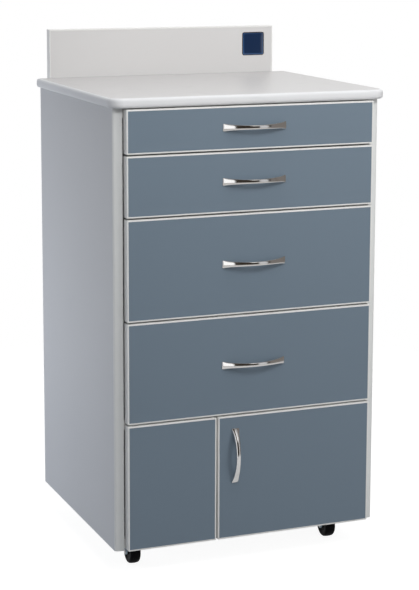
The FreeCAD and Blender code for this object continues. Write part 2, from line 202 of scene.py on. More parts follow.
# Pressed laminate: fine grain, slow drift of tone, smudged gloss and a trace of dust.
def laminate(name, look):
    finish, tree, shader, place, facing = startFinish(name)
    suede = useEffect(tree, "suede", place, Grain=look["grain"], Tone=look["tone"], Drift=look["drift"])
    dust = useEffect(tree, "dust", place, Facing=facing, Amount=look["dust"])["Cover"]
    colour = mixColour(tree, dust, tinted(tree, look["colour"], suede["Tint"]), dustTints["laminate"])
    smudge = useEffect(tree, "handling", place, Scale=14.0, Cover=0.42)["Smudge"]
    feed(tree, shader, Base_Color=colour, Roughness=hazed(tree, smudge, look["smudge"], look["rough"]),
         Normal=relief(tree, suede["Height"], look["relief"], depth=0.12 * mm), Specular_IOR_Level=look["gloss"])
    return finish


# Extruded edging: faint draw lines along it, satin gloss, polished rims.
def extrudedEdging(name, look):
    finish, tree, shader, place, facing = startFinish(name)
    rim = addNode(tree, "ShaderNodeAttribute", attribute_name="rim").outputs["Fac"]
    lines = useEffect(tree, "brushing", place, Stretch=look["stretch"], Scale=900.0)["Streak"]
    wear = useEffect(tree, "rimWear", place, Rim=rim, Amount=look["wear"])["Wear"]
    tint = mathNode(tree, "MULTIPLY_ADD", lines, drawTone, 1.0 - drawTone / 2)
    colour = mixColour(tree, wear, tinted(tree, look["colour"], tint), look["wornColour"])
    dust = useEffect(tree, "dust", place, Facing=facing, Amount=0.12)["Cover"]
    smudge = useEffect(tree, "handling", place, Scale=25.0, Cover=0.45)["Smudge"]
    feed(tree, shader, Base_Color=mixColour(tree, dust, colour, dustTints["edging"]),
         Roughness=hazed(tree, smudge, haze=0.1, rough=look["rough"]),
         Normal=relief(tree, lines, strength=0.08, depth=0.1 * mm), Specular_IOR_Level=look["gloss"])
    return finish


# Plated or polished metal: fine lines in its gloss, and a duller film in patches.
def drawnMetal(name, look):
    finish, tree, shader, place, _ = startFinish(name)
    streak = useEffect(tree, "brushing", place, Stretch=look["stretch"], Scale=look["scale"])["Streak"]
    smudge = useEffect(tree, "handling", place, Scale=look["patch"], Cover=0.45)["Smudge"]
    rough = mathNode(tree, "MULTIPLY_ADD", streak, look["spread"], look["rough"])
    feed(tree, shader, Base_Color=mixColour(tree, smudge, look["colour"], look["film"]),
         Roughness=hazed(tree, smudge, look["haze"], rough),
         Normal=relief(tree, streak, look["relief"], depth=0.05 * mm), Metallic=1.0)
    return finish


# Moulded plastic, resin or rubber: fine pebbling, scuffs, dust on top, and a lighter tone on the rims,
# which is a painted highlight.
def moulded(name, look):
    finish, tree, shader, place, facing = startFinish(name)
    pebble = addNode(tree, "ShaderNodeTexVoronoi", {"Vector": place, "Scale": look["pebble"]}).outputs[0]
    smudge = useEffect(tree, "handling", place, Scale=60.0, Cover=look["scuff"])["Smudge"]
    rim = addNode(tree, "ShaderNodeAttribute", attribute_name="rim").outputs["Fac"]
    colour = mixColour(tree, smudge, look["colour"], look["scuffColour"])
    # On the rim mask the colour turns lighter: a painted highlight.
    colour = mixColour(tree, rim, colour, look["rimColour"])
    dust = useEffect(tree, "dust", place, Facing=facing, Amount=look["dust"])["Cover"]
    feed(tree, shader, Base_Color=mixColour(tree, dust, colour, dustTints["moulded"]),
         Roughness=hazed(tree, smudge, haze=0.2, rough=look["rough"]),
         Normal=relief(tree, pebble, look["relief"], depth=0.1 * mm), Coat_Weight=look["coat"], Coat_Roughness=0.06,
         Specular_IOR_Level=look["gloss"])
    return finish


# Hardboard: a web of short fibres under a thin paint.
def pressedBoard(name, look):
    finish, tree, shader, place, _ = startFinish(name)
    fibres = useEffect(tree, "brushing", place, Stretch=(1.0, 0.22, 0.22), Scale=420.0)["Streak"]
    cross = useEffect(tree, "brushing", place, Stretch=(0.22, 1.0, 1.0), Scale=380.0)["Streak"]
    web = times(tree, fibres, cross)
    colour = mixColour(tree, fadeBetween(tree, web, 0.15, 0.4), look["fibre"], look["colour"])
    smudge = useEffect(tree, "handling", place, Scale=9.0, Cover=0.45)["Smudge"]
    feed(tree, shader, Base_Color=colour, Roughness=hazed(tree, smudge, haze=0.12, rough=look["rough"]),
         Normal=relief(tree, web, strength=0.3, depth=0.3 * mm))
    return finish


pressed = {"grain": 1100.0, "tone": 0.05, "drift": 0.03, "dust": 0.1, "rough": 0.42, "smudge": 0.1, "relief": 0.12}
# The side, splash and worktop laminates are one grey laminate. The splash's lighter colour, the worktop's darker one
# and the side's cooler one are painted light and shade.
laminateLooks = {
    "sideLaminate": {**pressed, "colour": (0.615, 0.625, 0.645), "drift": 0.04, "gloss": 0.12},
    "splashLaminate": {**pressed, "colour": (0.708, 0.700, 0.696), "gloss": 0.4},
    "worktopLaminate": {"colour": (0.550, 0.542, 0.541), "grain": 1400.0, "tone": 0.06, "drift": 0.03, "dust": 0.12,
                        "rough": 0.36, "smudge": 0.12, "relief": 0.15, "gloss": 0.5},
    "frontLaminate": {**pressed, "colour": (0.169, 0.221, 0.274), "grain": 1300.0, "tone": 0.08, "drift": 0.05,
                      "relief": 0.15, "gloss": 0.4},
    "whiteMelamine": {"colour": (0.80, 0.80, 0.785), "grain": 800.0, "tone": 0.03, "drift": 0.02, "dust": 0.15,
                      "rough": 0.45, "smudge": 0.08, "relief": 0.1, "gloss": 0.45},
}
drawTone = 0.03
# The side moulding is the worktop moulding's material in a lighter colour, painted light where the fronts' edges shade
# it.
edgingLooks = {
    "worktopMoulding": {"colour": (0.76, 0.77, 0.785), "wornColour": (0.80, 0.80, 0.81), "stretch": (0.15, 0.15, 1.0),
                        "wear": 0.2, "rough": 0.3, "gloss": 0.06},
    "sideMoulding": {"colour": (0.79, 0.805, 0.80), "wornColour": (0.82, 0.83, 0.82), "stretch": (1.0, 1.0, 0.05),
                     "wear": 0.2, "rough": 0.34, "gloss": 0.25},
    "frontBand": {"colour": (0.82, 0.82, 0.805), "wornColour": (0.86, 0.86, 0.85), "stretch": (0.3, 1.0, 0.3),
                  "wear": 0.3, "rough": 0.35, "gloss": 0.4},
}
metalLooks = {
    "pullNickel": {"colour": (0.84, 0.825, 0.805), "film": (0.72, 0.695, 0.67), "stretch": (0.08, 1.0, 1.0),
                   "scale": 1500.0, "rough": 0.07, "spread": 0.07, "haze": 0.05, "patch": 30.0, "relief": 0.02},
    "runnerZinc": {"colour": (0.66, 0.67, 0.69), "film": (0.52, 0.53, 0.54), "stretch": (1.0, 0.03, 1.0),
                   "scale": 900.0, "rough": 0.28, "spread": 0.14, "haze": 0.12, "patch": 24.0, "relief": 0.06},
    "castorZinc": {"colour": (0.36, 0.45, 0.52), "film": (0.24, 0.31, 0.37), "stretch": (1.0, 1.0, 0.2),
                   "scale": 700.0, "rough": 0.26, "spread": 0.16, "haze": 0.18, "patch": 60.0, "relief": 0.08},
    "screwZinc": {"colour": (0.70, 0.70, 0.71), "film": (0.5, 0.5, 0.51), "stretch": (1.0, 1.0, 1.0),
                  "scale": 1500.0, "rough": 0.24, "spread": 0.12, "haze": 0.12, "patch": 90.0, "relief": 0.06},
}
mouldedLooks = {
    "tyreRubber": {"colour": (0.005, 0.005, 0.006), "scuffColour": (0.012, 0.012, 0.012),
                   "rimColour": (0.01, 0.01, 0.01), "pebble": 900.0, "scuff": 0.4, "dust": 0.04, "rough": 0.4,
                   "relief": 0.12, "coat": 0.0, "gloss": 0.06},
    "hubPlastic": {"colour": (0.009, 0.009, 0.010), "scuffColour": (0.02, 0.02, 0.02),
                   "rimColour": (0.02, 0.02, 0.02), "pebble": 1500.0, "scuff": 0.35, "dust": 0.05, "rough": 0.35,
                   "relief": 0.08, "coat": 0.0, "gloss": 0.06},
    "latchPlastic": {"colour": (0.03, 0.03, 0.031), "scuffColour": (0.07, 0.07, 0.07),
                     "rimColour": (0.05, 0.05, 0.05), "pebble": 1200.0, "scuff": 0.35, "dust": 0.1, "rough": 0.4,
                     "relief": 0.2, "coat": 0.0, "gloss": 0.4},
    # The badge's lighter rim tone is a painted highlight.
    "badgeResin": {"colour": (0.010, 0.027, 0.075), "scuffColour": (0.014, 0.035, 0.09),
                   "rimColour": (0.045, 0.13, 0.30), "pebble": 300.0, "scuff": 0.4, "dust": 0.04, "rough": 0.08,
                   "relief": 0.01, "coat": 1.0, "gloss": 0.5},
    "badgeFrame": {"colour": (0.014, 0.009, 0.016), "scuffColour": (0.03, 0.03, 0.035),
                   "rimColour": (0.06, 0.06, 0.07), "pebble": 900.0, "scuff": 0.4, "dust": 0.04, "rough": 0.2,
                   "relief": 0.02, "coat": 0.5, "gloss": 0.5},
}
boardLooks = {"paintedHardboard": {"colour": (0.74, 0.73, 0.70), "fibre": (0.66, 0.645, 0.61), "rough": 0.55}}
finishes = {}
for makeFinish, looks in ((laminate, laminateLooks), (extrudedEdging, edgingLooks), (drawnMetal, metalLooks),
                          (moulded, mouldedLooks), (pressedBoard, boardLooks)):
    finishes.update({name: makeFinish(name, look) for name, look in looks.items()})
print("finishes ready:", len(finishes))


# Four-cornered faces of a grid of points, counted along its rows and columns.
def gridFaces(rows, columns, wrapRows=False):
    row, column = np.arange(rows if wrapRows else rows - 1)[:, None], np.arange(columns)[None, :]
    here, ahead, beside = row * columns, (row + 1) % rows * columns, (column + 1) % columns
    return np.stack([here + column, here + beside, ahead + beside, ahead + column], axis=-1).reshape(-1, 4).tolist()


def rimOf(rings, rim):  # one value for each point, 0 where a skin has no rim
    return np.zeros(rings.shape[0] * rings.shape[1]) if rim is None else rim.ravel()


# Closed skin through rings of points: faces between rings, and a flat cap on the first and the last.
def cappedSkin(rings, rim=None):
    rows, columns = rings.shape[:2]
    caps = [list(range(columns))[::-1], list(range((rows - 1) * columns, rows * columns))]
    return rings.reshape(-1, 3), gridFaces(rows, columns) + caps, rimOf(rings, rim)


# Closed skin through rings of points whose last ring joins the first.
def loopedSkin(rings, rim=None):
    return rings.reshape(-1, 3), gridFaces(*rings.shape[:2], wrapRows=True), rimOf(rings, rim)


def facePoints(plan, depth):  # points in the XZ plane, each at its depth along y
    return np.stack(np.broadcast_arrays(plan[..., 0], depth, plan[..., 1]), axis=-1)


# A section of (radius, height) turned round an axis: centre + radius * (side cos a + other sin a) + height * axis.
# outline gives, for each section point and angle, a share that the radius is multiplied by.
def turnedRings(section, centre, axis, segments, outline=None):
    section, axis = np.array(section, float), np.array(axis, float)
    side = np.array((0.0, 0.0, 1.0)) if abs(axis[2]) < 0.5 else np.array((1.0, 0.0, 0.0))
    angle = np.linspace(0, 2 * math.pi, segments, endpoint=False)
    around = np.cos(angle)[:, None] * side + np.sin(angle)[:, None] * np.cross(axis, side)
    radius = np.repeat(section[:, :1], segments, axis=1)
    if outline is not None:
        radius = radius * outline(section, angle)
    return radius[:, :, None] * around[None] + section[:, 1][:, None, None] * axis + np.array(centre, float)


def arcPoints(start, end, steps):  # cosine and sine at even steps between two angles in degrees
    angle = np.radians(np.linspace(start, end, steps))
    return np.stack([np.cos(angle), np.sin(angle)], axis=1)


def addObject(name, data):
    made = bpy.data.objects.new(name, data)
    bpy.context.scene.collection.objects.link(made)
    return made


# Joins closed skins into one piece that rides on a body, with a rim mask and smooth shading up to an angle.
def addPiece(name, skins, finish, body, replaces=(), smoothAngle=32.0):
    counts = np.cumsum([0] + [len(skin[0]) for skin in skins])
    faces = [[first + k for k in face] for first, skin in zip(counts, skins) for face in skin[1]]
    mesh = bpy.data.meshes.new(name)
    mesh.from_pydata(np.concatenate([skin[0] for skin in skins]).tolist(), [], faces)
    work = bmesh.new()
    work.from_mesh(mesh)
    bmesh.ops.recalc_face_normals(work, faces=work.faces)
    work.to_mesh(mesh)
    work.free()
    mask = mesh.attributes.new("rim", "FLOAT", "POINT")
    mask.data.foreach_set("value", np.concatenate([skin[2] for skin in skins]).astype(np.float32))
    mesh.shade_smooth()
    mesh.set_sharp_from_angle(angle=math.radians(smoothAngle))
    mesh.materials.append(finishes[finish])
    piece = addObject(name, mesh)
    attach(piece, body)
    if replaces:
        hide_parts(*replaces)


# Samples round a rectangle: for each, a corner's centre, a direction, its radius and the way inwards.
def roundedLoop(x, y, radii, steps):
    corners = ((x[0], y[0], 1, 1, 180), (x[1], y[0], -1, 1, 270), (x[1], y[1], -1, -1, 0), (x[0], y[1], 1, -1, 90))
    ways = np.concatenate([arcPoints(start, start + 90, steps) for _, _, _, _, start in corners])
    centres = np.repeat([(cx + sx * r, cy + sy * r) for (cx, cy, sx, sy, _), r in zip(corners, radii)], steps, axis=0)
    inwards = np.repeat([(sx, sy) for _, _, sx, sy, _ in corners], steps, axis=0)
    return centres, ways, np.repeat(np.array(radii, float), steps), inwards


# The loop moved inwards by each depth: its arcs shrink to nothing, and then its corners move in along both sides.
def loopAt(loop, depth):
    centres, ways, sizes, inwards = loop
    left = sizes[:, None, None] - np.asarray(depth, float)[None, :, None]
    return centres[:, None, :] + ways[:, None, :] * np.maximum(left, 0) + inwards[:, None, :] * np.maximum(-left, 0)


def middleOf(low, high):
    return (np.array(low) + np.array(high)) / 2


worktopMoulding = {"depth": 7 * mm, "power": 2.8, "seam": 0.25 * mm, "steps": 25,
                   "corners": (27 * mm, 27 * mm, 8 * mm, 8 * mm), "cornerSteps": 14}


# Across the edge a runs from -1 to 1, and it stands out by depth * (1 - |a| ^ power) ^ (1 / power).
# That section is carried round the worktop's plan, a seam lower than the laminate. The rim mask is two bands, each
# full at |a| = 0.7 and gone at 0.5 and 0.9.
def addWorktopMoulding():
    low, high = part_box("worktop_edge")
    look = worktopMoulding
    across = -np.cos(np.linspace(0, math.pi, look["steps"]))
    out = look["depth"] * (1 - np.abs(across) ** look["power"]).clip(0) ** (1 / look["power"])
    tall = high.z - low.z - look["seam"]
    loop = roundedLoop((low.x, high.x), (low.y, high.y), look["corners"], look["cornerSteps"])
    plan = loopAt(loop, look["depth"] - out)
    height = np.broadcast_to(low.z + tall * (across + 1) / 2, plan.shape[:2])
    bands = np.clip(np.abs(across) * 4 - 2, 0, 1) * np.clip(4 - np.abs(across) * 4.4, 0, 1)
    skin = loopedSkin(np.dstack([plan, height]), np.broadcast_to(bands, plan.shape[:2]))
    addPiece("worktopMoulding", [skin], "worktopMoulding", "cabinet", ["worktop_edge"])


sideMoulding = {"width": 19 * mm, "depth": 7 * mm, "power": 3.0, "seam": 0.2 * mm, "steps": 22, "corner": 0.6 * mm,
                "cornerSteps": 5, "rows": 24, "rimPlace": 2 * mm, "rimWidth": 3 * mm, "rimShare": 0.5}


# From the outer side inwards a runs from 0 to 1, and it stands out by depth * (1 - (1 - a) ^ power) ^ (1 / power),
# so it turns quickly at the outer corner and ends with a small quarter round beside the fronts.
def addSideMouldings():
    low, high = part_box("side_edges")
    look = sideMoulding
    a = 1 - np.cos(np.linspace(0, math.pi / 2, look["steps"]))
    out = look["depth"] * (1 - (1 - a) ** look["power"]).clip(0) ** (1 / look["power"])
    across = look["seam"] + (look["width"] - look["seam"]) * a
    r = look["corner"]
    turn = arcPoints(90, 0, look["cornerSteps"]) * r + (look["width"] - r, look["depth"] - r)
    keep = across < look["width"] - r
    across = np.concatenate([across[keep], turn[:, 0], [look["width"]]])
    out = np.concatenate([out[keep], turn[:, 1], [0.0]])
    height = np.linspace(low.z, high.z, look["rows"])
    rim = np.clip(1 - np.abs(across - look["rimPlace"]) / look["rimWidth"], 0, 1) * look["rimShare"]
    skins = []
    for outer, way in ((low.x, 1), (high.x, -1)):
        x, y, z, mask = np.broadcast_arrays(outer + way * across, high.y - out, height[:, None], rim)
        skins.append(cappedSkin(np.stack([x, y, z], axis=-1), mask))
    addPiece("sideMouldings", skins, "sideMoulding", "cabinet", ["side_edges"])


bandLook = {"thickness": 3 * mm, "corner": 1.4 * mm, "rounding": 0.8 * mm, "steps": 6, "groove": 0.2 * mm}


# Band section as (inwards, y): square at the back, rounded at its outer front edge, with a fine line at the laminate.
def bandSection(front, back):
    r, inner, groove = bandLook["rounding"], bandLook["thickness"], bandLook["groove"]
    turn = arcPoints(180, 270, bandLook["steps"]) * r + (r, front + r)
    return np.concatenate([[(inner, back), (groove, back), (0.0, back - groove)], turn,
                           [(inner - groove, front), (inner, front + groove)]])


# The band's section carried round a board that stands in the XZ plane. The loop starts with its two lower corners, so
# an open band, without the bottom run, starts after them with both ends drawn down. The rim mask is the rounding,
# which follows the section's first three points.
def addBand(node, name, body, openBottom=False):
    low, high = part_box(node)
    steps = bandLook["steps"]
    section = bandSection(low.y, high.y)
    plan = loopAt(roundedLoop((low.x, high.x), (low.z, high.z), [bandLook["corner"]] * 4, steps), section[:, 0])
    if openBottom:
        ends = plan[[2 * steps, -1]].copy()
        ends[..., 1] = low.z
        plan = np.concatenate([ends[:1], plan[2 * steps:], ends[1:]])
    rim = np.zeros(plan.shape[:2])
    rim[:, 3:3 + steps] = 1.0
    makeSkin = cappedSkin if openBottom else loopedSkin
    addPiece(name, [makeSkin(facePoints(plan, section[:, 1]), rim)], "frontBand", body, [node])


addWorktopMoulding()
addSideMouldings()
for count in drawerNumbers:
    addBand(f"drawer_front_edge_{count}", f"drawerBand_{count}", f"drawer_{count}")
addBand("left_door_edge", "leftDoorBand", "left_door")
addBand("right_door_edge", "rightDoorBand", "right_door")
addBand("backsplash_edge", "splashBand", "cabinet", openBottom=True)
print("edging ready")

pullLook = {"reach": 21 * mm, "tip": 2.4 * mm, "foot": 13 * mm, "band": 4.2 * mm, "endHeight": 15.6 * mm,
            "waistShare": 0.52, "flare": 2.4, "squareness": 4.2, "crown": 0.075, "cornerRound": 2.4 * mm,
            "edgeRound": 0.9 * mm, "raised": 2 * mm, "lengthSteps": 110, "aroundSteps": 64, "endSteps": 9}


# Depth of a circular bow at a distance s from its middle: tip deep at half, top deep at the middle.
def bowDepth(s, half, tip, top):
    sag = top - tip
    radius = (half * half + sag * sag) / (2 * sag)
    return top - radius + np.sqrt(np.maximum(radius * radius - s * s, 0))


# A bow pull along s. Its section is an oblong between the outer and the inner bow, |d| ^ n + |h| ^ n = 1, crowned
# in front by a share of its height times h squared. Its height is waist + (1 - waist) * |s / half| ^ flare, and both
# ends are rounded off by quarter ellipses.
def pullSkin(length):
    look = pullLook
    half = length / 2
    turn = np.linspace(0, math.pi / 2, look["endSteps"])
    ends = half - look["cornerRound"] * (1 - np.sin(turn))
    run = np.sin(np.linspace(-1, 1, look["lengthSteps"] + 2)[1:-1] * math.pi / 2) * (half - look["cornerRound"])
    lift = 1 - np.cos(turn)
    off = np.concatenate([lift[::-1], np.zeros(look["lengthSteps"]), lift])
    s = np.concatenate([-ends[::-1], run, ends])
    outer = bowDepth(s, half, look["tip"], look["reach"]) - off * look["edgeRound"]
    straight = half - look["foot"]
    inner = np.where(np.abs(s) < straight, bowDepth(s, straight, 0.0, look["reach"] - look["band"]), 0.0)
    share = look["waistShare"] + (1 - look["waistShare"]) * (np.abs(s) / half) ** look["flare"]
    tall = look["endHeight"] / 2 * share - off * look["cornerRound"]
    angle = np.linspace(0, 2 * math.pi, look["aroundSteps"], endpoint=False) + math.pi / look["aroundSteps"]
    power = 2 / look["squareness"]
    across, up = (np.sign(wave) * np.abs(wave) ** power for wave in (np.cos(angle), np.sin(angle)))
    crown = look["crown"] * tall[:, None] * 2 * up ** 2 * (across > 0) * across
    depth = (outer + inner)[:, None] / 2 + (outer - inner)[:, None] / 2 * across - crown
    rim = np.broadcast_to(np.clip(np.abs(up) * 2 - 1, 0, 1), depth.shape)
    return np.broadcast_to(s[:, None], depth.shape), depth, tall[:, None] * up, rim


def addPull(node, name, body, upright):
    low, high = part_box(node)
    s, depth, height, rim = pullSkin(max(high.x - low.x, high.z - low.z))
    middle = middleOf(low, high)
    raised = middle[2] + pullLook["raised"]
    along, across = (middle[0] + height, raised + s) if upright else (middle[0] + s, raised + height)
    skin = cappedSkin(np.stack([along, high.y - depth, across], axis=-1), rim)
    addPiece(name, [skin], "pullNickel", body, [node], smoothAngle=50.0)


for count in drawerNumbers:
    addPull(f"drawer_pull_{count}", f"drawerBow_{count}", f"drawer_{count}", upright=False)
addPull("right_door_pull", "rightDoorBow", "right_door", upright=True)
print("pulls ready")

# The dome's rim carries a painted highlight, as wide as glow and strongest towards lower left.
badgeLook = {"frame": 2.2 * mm, "frameHeight": 0.9 * mm, "dome": 1.2 * mm, "corner": 5 * mm, "cornerSteps": 8,
             "frameSteps": 7, "rings": 16, "seat": 0.8, "sunk": 0.7, "fullness": 0.3, "glow": 3.5 * mm,
             "paintedSheenWay": (-0.6, -0.8), "growRight": 4.5 * mm, "growDown": 4.5 * mm, "drop": 1.2 * mm}


# The frame is a low half-round carried round a rounded square. The dome is that square drawn in towards the middle
# by a power of a turn's cosine, while its height grows with the turn's sine. Its rim mask is a painted highlight, a
# pale strip along the rim that is strongest at lower left.
def addBadge():
    low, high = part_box("badge")
    look = badgeLook
    right, bottom, top = high.x + look["growRight"], low.z - look["growDown"], high.z - look["drop"]
    loop = roundedLoop((low.x, right), (bottom, top), [look["corner"]] * 4, look["cornerSteps"])
    half = arcPoints(180, 0, look["frameSteps"]) * (look["frame"] / 2, look["frameHeight"]) + (look["frame"] / 2, 0)
    plan = loopAt(loop, half[:, 0])
    frameSkin = loopedSkin(facePoints(plan, high.y - half[:, 1]))
    addPiece("badgeFrame", [frameSkin], "badgeFrame", "cabinet", ["badge"])
    middle = np.array(((low.x + right) / 2, (bottom + top) / 2))
    start = loopAt(loop, [look["frame"] * look["seat"]])[:, 0] - middle
    turn = np.linspace(0, math.pi / 2, look["rings"])[:-1]
    shrink = np.concatenate([[1.0], np.cos(turn) ** look["fullness"]])
    base = look["frameHeight"] * look["sunk"]
    lift = np.concatenate([[0.0], base + (look["dome"] - base) * np.sin(turn)])
    rings = middle + start[None] * shrink[:, None, None]
    depth = high.y - lift[:, None]
    reach = np.abs(start).max()
    lower = (rings - middle) @ np.array(look["paintedSheenWay"]) / reach
    # The rim's painted highlight: a pale strip, strongest at lower left.
    paintedSheen = np.clip(1 - (1 - shrink)[:, None] * reach / look["glow"], 0, 1) * np.clip(lower + 0.6, 0.15, 1)
    addPiece("badgeDome", [cappedSkin(facePoints(rings, depth), paintedSheen)], "badgeResin", "cabinet")


addBadge()
print("badge ready")

# Profiles are rows of (radius, depth) in mm: the hub's from its face inwards, the race's down from the sheet.
castorLook = {"radius": 25 * mm, "width": 22 * mm, "shoulder": 4.8 * mm, "crown": 0.5 * mm, "hub": 14 * mm,
              "bead": (0.4 * mm, 0.9 * mm), "beadHeight": 0.6 * mm, "sheet": 2 * mm, "foot": 7 * mm, "bend": 3.2 * mm,
              "gap": 1.5 * mm, "axle": 3 * mm, "nut": 5.2 * mm, "nutHeight": 1.8 * mm, "nutEdge": 0.5 * mm,
              "nutTop": 0.86, "crownHalf": 17 * mm, "flare": 1.3, "footEnd": 0.4 * mm, "sheetRound": 0.35 * mm,
              "hubProfile": ((3.4, 0.0), (6.2, 0.0), (7.2, 0.7), (7.8, 1.6), (12.4, 1.6), (13.3, 0.6), (14.1, 0.7)),
              "raceProfile": ((5.3, 0.2), (11.5, 0.2), (12.5, 1.0), (8.5, 3.4), (6.0, 3.6), (5.3, 3.2)),
              "wheelSteps": 72, "hubSteps": 48, "nutSteps": 36, "axleSteps": 24, "treadSteps": 9, "shoulderSteps": 10,
              "footSteps": 9, "legSteps": 12, "bendSteps": 8, "sheetSteps": 13}


# Tyre: a crowned tread, two quarter-round shoulders and a bead on each side, turned round the axle.
# Hub: a raised boss, a dish and a lip on each side, turned round the same axle.
def wheelSkins(centre):
    look = castorLook
    half, radius, shoulder = look["width"] / 2, look["radius"], look["shoulder"]
    left = arcPoints(180, 90, look["shoulderSteps"]) * shoulder + (shoulder - half, radius - look["crown"] - shoulder)
    flat = np.linspace(shoulder - half, half - shoulder, look["treadSteps"])[1:-1]
    tread = np.stack([flat, radius - look["crown"] * (flat / (half - shoulder)) ** 2], axis=1)
    bead = [(half - look["bead"][0], look["hub"] + look["beadHeight"]), (half - look["bead"][1], look["hub"])]
    section = np.concatenate([left, tread, left[::-1] * (-1, 1), bead, [(-x, r) for x, r in bead[::-1]]])
    tyre = turnedRings(section[:, ::-1], centre, (1, 0, 0), look["wheelSteps"]).transpose(1, 0, 2)
    side = [(r * mm, half - depth * mm) for r, depth in look["hubProfile"]]
    hub = turnedRings([(r, -h) for r, h in side] + side[::-1], centre, (1, 0, 0), look["hubSteps"])
    return loopedSkin(tyre), cappedSkin(hub)


# Hexagon: the radius to its flats over the cosine of the angle from the nearest flat, kept off round parts.
def nutOutline(section, angle):
    wave = math.cos(math.pi / 6) / np.cos((angle + math.pi / 6) % (math.pi / 3) - math.pi / 6)
    return np.where((section[:, 0] > castorLook["nut"] * 0.9)[:, None], wave[None, :], 1.0)


def addCastorWheel(count):
    look = castorLook
    node, body = f"castor_wheel_{count}", f"wheel_{count}"
    centre = middleOf(*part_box(node))
    tyre, hub = wheelSkins(centre)
    addPiece(f"castorTyre_{count}", [tyre], "tyreRubber", body, [node], smoothAngle=40.0)
    addPiece(f"castorHub_{count}", [hub], "hubPlastic", body)
    outer = look["width"] / 2 + look["gap"] + look["sheet"]
    pin = [(look["axle"], -outer), (look["axle"], outer)]
    skins = [cappedSkin(turnedRings(pin, centre, (1, 0, 0), look["axleSteps"]))]
    nut, tall = look["nut"], look["nutHeight"]
    section = [(nut, 0.05 * mm), (nut, tall - look["nutEdge"]), (nut * look["nutTop"], tall), (look["axle"], tall)]
    for side in (-1, 1):
        start = centre + np.array((side * outer, 0, 0))
        skins.append(cappedSkin(turnedRings(section, start, (side, 0, 0), look["nutSteps"], nutOutline)))
    addPiece(f"castorAxle_{count}", skins, "screwZinc", body)


# Pressed sheet bent to an arch. The path goes up one leg, round the bend, over the crown and down the other leg, and
# the sheet lies inside it. Across, it runs between a front and a rear line: a round foot at the axle, and above it
# a share (height ^ flare) of the way out to the crown's ends.
def forkSkin(centre, pinY, crownZ):
    look = castorLook
    outer = look["width"] / 2 + look["gap"] + look["sheet"]
    foot, bend = look["foot"], look["bend"]
    legZ = np.concatenate([centre[2] + foot * np.sin(np.radians(np.linspace(-90, 0, look["footSteps"]))),
                           np.linspace(centre[2], crownZ - bend, look["legSteps"])[1:]])
    turn = arcPoints(180, 90, look["bendSteps"])[1:]
    path = np.concatenate([np.stack([np.full(len(legZ), -outer), legZ], axis=1),
                           turn * bend + (bend - outer, crownZ - bend)])
    path = np.concatenate([path, path[::-1] * (-1, 1)])
    ways = np.gradient(path, axis=0)
    ways /= np.linalg.norm(ways, axis=1)[:, None]
    inside = path + np.stack([ways[:, 1], -ways[:, 0]], axis=1) * look["sheet"]
    rise = np.clip((path[:, 1] - centre[2]) / (crownZ - bend - centre[2]), 0, 1) ** look["flare"]
    half = np.sqrt(np.maximum(foot ** 2 - np.minimum(path[:, 1] - centre[2], 0) ** 2, look["footEnd"] ** 2))
    front = centre[1] - half + (pinY - look["crownHalf"] - centre[1] + foot) * rise
    rear = centre[1] + half + (pinY + look["crownHalf"] - centre[1] - foot) * rise
    y = front[:, None] + (rear - front)[:, None] * np.linspace(0, 1, look["sheetSteps"])
    outside, within = (np.stack(np.broadcast_arrays(centre[0] + line[:, :1], y, line[:, 1:]), axis=-1)
                       for line in (path, inside))
    outside[:, 0, 1] += look["sheetRound"]
    outside[:, -1, 1] -= look["sheetRound"]
    return cappedSkin(np.concatenate([outside, within[:, ::-1]], axis=1))


def addFork(count):
    look = castorLook
    node = f"castor_fork_{count}"
    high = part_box(node)[1]
    centre = middleOf(*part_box(f"castor_wheel_{count}"))
    pinY = high.y - look["crownHalf"]
    under = high.z - look["sheet"]
    race = [(r * mm, under - depth * mm) for r, depth in look["raceProfile"]]
    rings = turnedRings(race, (centre[0], pinY, 0), (0, 0, 1), look["hubSteps"]).transpose(1, 0, 2)
    addPiece(f"castorPressing_{count}", [forkSkin(centre, pinY, high.z), loopedSkin(rings)], "castorZinc",
             f"castor_{count}", [node], smoothAngle=40.0)


for count in castorNumbers:
    addCastorWheel(count)
    addFork(count)
print("castors ready")

# The dome's rows are shares of the head's radius and height, and the sunk rows of the recess and its depth.
screwLook = {"head": 3.6 * mm, "height": 2.0 * mm, "recess": 1.9 * mm, "deep": 1.2 * mm, "small": 0.8, "medium": 0.9,
             "dome": ((1.0, 0.0), (1.0, 0.35), (0.9, 0.75), (0.7, 0.95)), "core": 0.34, "armPower": 4, "steps": 32,
             "sunk": ((1.15, 0.0), (1.0, 0.0), (0.8, 1.0), (0.3, 1.0))}


# Cross recess: from the recess's edge down, the radius falls to its core's share between the four arms.
def crossOutline(section, angle):
    arms = screwLook["core"] + (1 - screwLook["core"]) * np.abs(np.cos(2 * angle)) ** screwLook["armPower"]
    inside = np.arange(len(section)) > len(screwLook["dome"])
    return np.where(inside[:, None], arms[None, :], 1.0)


# Pan head turned round its axis, with a cross sunk in the top.
def screwSkin(place, way, size=1.0):
    look = screwLook
    r, h, recess, deep = (look[name] * size for name in ("head", "height", "recess", "deep"))
    section = [(r * a, h * b) for a, b in look["dome"]] + [(recess * a, h - deep * b) for a, b in look["sunk"]]
    return cappedSkin(turnedRings(section, place, way, look["steps"], crossOutline))


drawerScrews = {"boxBoard": 12 * mm, "headRoom": 6 * mm, "fromPullEnd": 6.5 * mm, "member": 8.3 * mm,
                "fromFront": (30 * mm, 190 * mm), "fromRear": 40 * mm}


